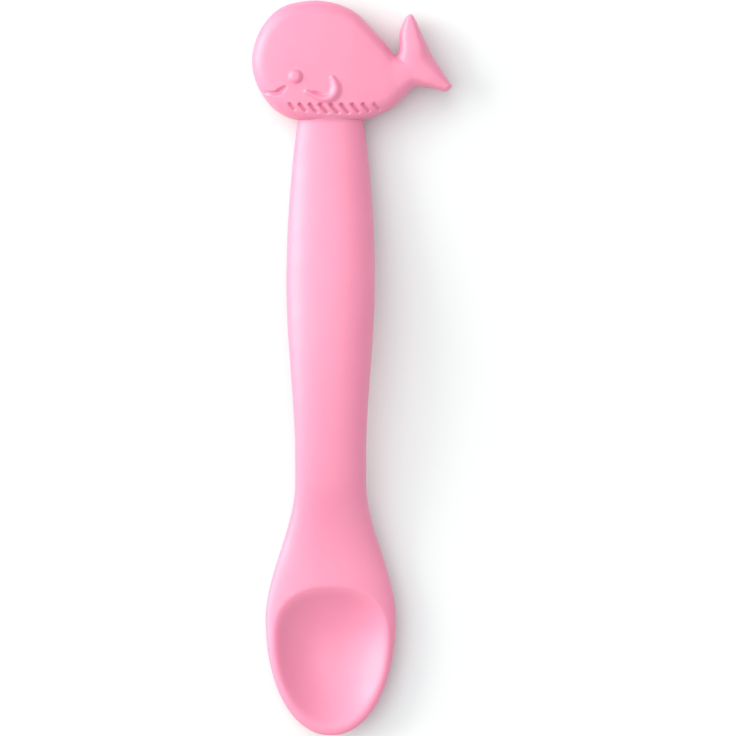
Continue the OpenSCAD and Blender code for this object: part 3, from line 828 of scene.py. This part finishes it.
def nylon_material(finish):
    """Uncoloured moulded nylon: slightly mottled, with a spark-eroded grain and dull flow marks."""
    material, tree, shader, place = new_material("mottled_nylon")
    darker = tuple(NYLON_SHADE * c for c in finish.nylon)
    clouds = ranged(tree, noise(tree, place, *NYLON_CLOUDS), 0, 1)
    tree.links.new(clouded(tree, clouds, finish.nylon, darker), shader.inputs["Base Color"])
    gloss = ranged(tree, noise(tree, place, *NYLON_GLOSS), *NYLON_ROUGHNESS)
    tree.links.new(gloss, shader.inputs["Roughness"])
    grain = bumped(tree, noise(tree, place, *NYLON_GRAIN), *NYLON_BUMP)
    tree.links.new(grain, shader.inputs["Normal"])
    shader.inputs["Subsurface Weight"].default_value = NYLON_GLOW
    shader.inputs["Subsurface Radius"].default_value = NYLON_SCATTER
    shader.inputs["Subsurface Scale"].default_value = NYLON_GLOW_DEPTH
    return material


def table_material(finish):
    """A matt pale table top with a barely uneven surface."""
    material, tree, shader, place = new_material("pale_table")
    gloss = ranged(tree, noise(tree, place, *TABLE_GLOSS), *TABLE_ROUGHNESS)
    tree.links.new(gloss, shader.inputs["Roughness"])
    shader.inputs["Base Color"].default_value = (*finish.table, 1)
    shader.inputs["Specular IOR Level"].default_value = TABLE_SHINE
    return material


def shared_material(name, maker, finish):
    """The material of this name, made once."""
    return bpy.data.materials.get(name) or maker(finish)


def dress(piece, node, material):
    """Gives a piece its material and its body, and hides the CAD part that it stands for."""
    piece.data.materials.clear()
    piece.data.materials.append(material)
    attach(piece, "root")
    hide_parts(node)


# The studio

# Half the table's side, and how far it lies below the spoon, so that the two don't share a plane
TABLE_HALF_SIDE = 1.2
TABLE_GAP = 0.01 * MM
# Places of the big light at the left and of the light overhead, from the middle of the picture
KEY_PLACE = Vector((-1.74, 0.50, 0.52))
TOP_PLACE = Vector((-0.75, 0.55, 1.95))
WHITE = (1, 1, 1)
# Width of the camera's sensor in millimetres, and the nearest and farthest things that it sees
SENSOR_WIDTH = 36.0
NEAREST = 0.01
FARTHEST = 10.0


def add_light(name, middle, offset, size, power, colour):
    """A round soft light at this offset from the middle of the picture, turned towards it."""
    light = bpy.data.lights.new(name, "AREA")
    light.shape = "DISK"
    light.size = size
    light.energy = power
    light.color = colour
    holder = bpy.data.objects.new(name, light)
    holder.location = middle + offset
    holder.rotation_mode = "QUATERNION"
    holder.rotation_quaternion = (-offset).to_track_quat("-Z", "Y")
    bpy.context.scene.collection.objects.link(holder)


# Operators


class SPOON_OT_moulding(Operator):
    """Build the silicone bowl, neck and handle"""

    bl_idname = "spoon.moulding"
    bl_label = "Bowl, neck and handle"

    def execute(self, context):
        settings = context.scene.baby_spoon
        form = SpoonForm(settings.spoon, settings.whale)
        piece = add_piece("silicone_spoon", *spoon_mesh(form))
        material = shared_material("satin_silicone", silicone_material, settings.finish)
        dress(piece, "spoon_jacket", material)
        return {"FINISHED"}


class SPOON_OT_whale(Operator):
    """Build the silicone whale on the handle's end"""

    bl_idname = "spoon.whale"
    bl_label = "Whale"

    def execute(self, context):
        settings = context.scene.baby_spoon
        piece = add_piece("silicone_whale", *whale_mesh(settings.whale))
        material = shared_material("satin_silicone", silicone_material, settings.finish)
        dress(piece, "whale_topper", material)
        return {"FINISHED"}


class SPOON_OT_stiffener(Operator):
    """Finish the nylon stiffener inside the silicone"""

    bl_idname = "spoon.stiffener"
    bl_label = "Stiffener"

    def execute(self, context):
        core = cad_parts["stiffener_core"]
        material = shared_material("mottled_nylon", nylon_material, context.scene.baby_spoon.finish)
        core.data.materials.clear()
        core.data.materials.append(material)
        return {"FINISHED"}


class SPOON_OT_studio(Operator):
    """Lay the table and set the lights and the camera"""

    bl_idname = "spoon.studio"
    bl_label = "Studio"

    def execute(self, context):
        settings = context.scene.baby_spoon
        studio = settings.studio
        scene = context.scene
        middle = Vector((studio.view_x, studio.view_y, 0))

        half = TABLE_HALF_SIDE
        corners = [(-half, -half, 0), (half, -half, 0), (half, half, 0), (-half, half, 0)]
        mesh = bpy.data.meshes.new("table_top")
        mesh.from_pydata(corners, [], [(0, 1, 2, 3)])
        table = bpy.data.objects.new("table_top", mesh)
        table.location = (0, 0, CAD_BOX[0].z - TABLE_GAP)
        mesh.materials.append(shared_material("pale_table", table_material, settings.finish))
        scene.collection.objects.link(table)

        key_size, key_power, key_colour = studio.key_size, studio.key_power, studio.key_colour
        add_light("key_light", middle, KEY_PLACE, key_size, key_power, key_colour)
        add_light("top_light", middle, TOP_PLACE, studio.top_size, studio.top_power, WHITE)

        world = bpy.data.worlds.new("studio_sky")
        world.use_nodes = True
        sky = next(n for n in world.node_tree.nodes if n.type == "BACKGROUND")
        sky.inputs["Color"].default_value = (1, 1, 1, 1)
        sky.inputs["Strength"].default_value = studio.sky_strength
        scene.world = world
        scene.view_settings.view_transform = "Standard"
        scene.view_settings.look = "None"

        camera = bpy.data.cameras.new("camera")
        camera.sensor_width = SENSOR_WIDTH
        camera.lens = studio.lens
        camera.clip_start = NEAREST
        camera.clip_end = FARTHEST
        holder = bpy.data.objects.new("camera", camera)
        line_height = settings.spoon.bowl_line_height
        distance = studio.view_width * camera.lens / SENSOR_WIDTH
        holder.location = middle + Vector((0, 0, line_height + distance))
        scene.collection.objects.link(holder)
        scene.camera = holder
        return {"FINISHED"}


class SPOON_PT_panel(Panel):
    """Baby spoon"""

    bl_label = "Baby Spoon"
    bl_idname = "SPOON_PT_panel"
    bl_space_type = "VIEW_3D"
    bl_region_type = "UI"
    bl_category = "Baby Spoon"

    def draw(self, context):
        settings = context.scene.baby_spoon
        for group in (settings.spoon, settings.whale, settings.finish, settings.studio):
            box = self.layout.box()
            for name in group.bl_rna.properties.keys():
                if name not in ("rna_type", "name"):
                    box.prop(group, name)
        for operator in (SPOON_OT_moulding, SPOON_OT_whale, SPOON_OT_stiffener, SPOON_OT_studio):
            self.layout.operator(operator.bl_idname)


CLASSES = (
    SpoonSizes,
    WhaleSizes,
    Finish,
    Studio,
    SpoonSettings,
    SPOON_OT_moulding,
    SPOON_OT_whale,
    SPOON_OT_stiffener,
    SPOON_OT_studio,
    SPOON_PT_panel,
)


def register():
    for cls in CLASSES:
        bpy.utils.register_class(cls)
    bpy.types.Scene.baby_spoon = PointerProperty(type=SpoonSettings)


def unregister():
    del bpy.types.Scene.baby_spoon
    for cls in reversed(CLASSES):
        bpy.utils.unregister_class(cls)


def main():
    register()
    bpy.ops.spoon.moulding()
    bpy.ops.spoon.whale()
    bpy.ops.spoon.stiffener()
    bpy.ops.spoon.studio()
    bpy.context.view_layer.update()


if __name__ == "__main__":
    main()
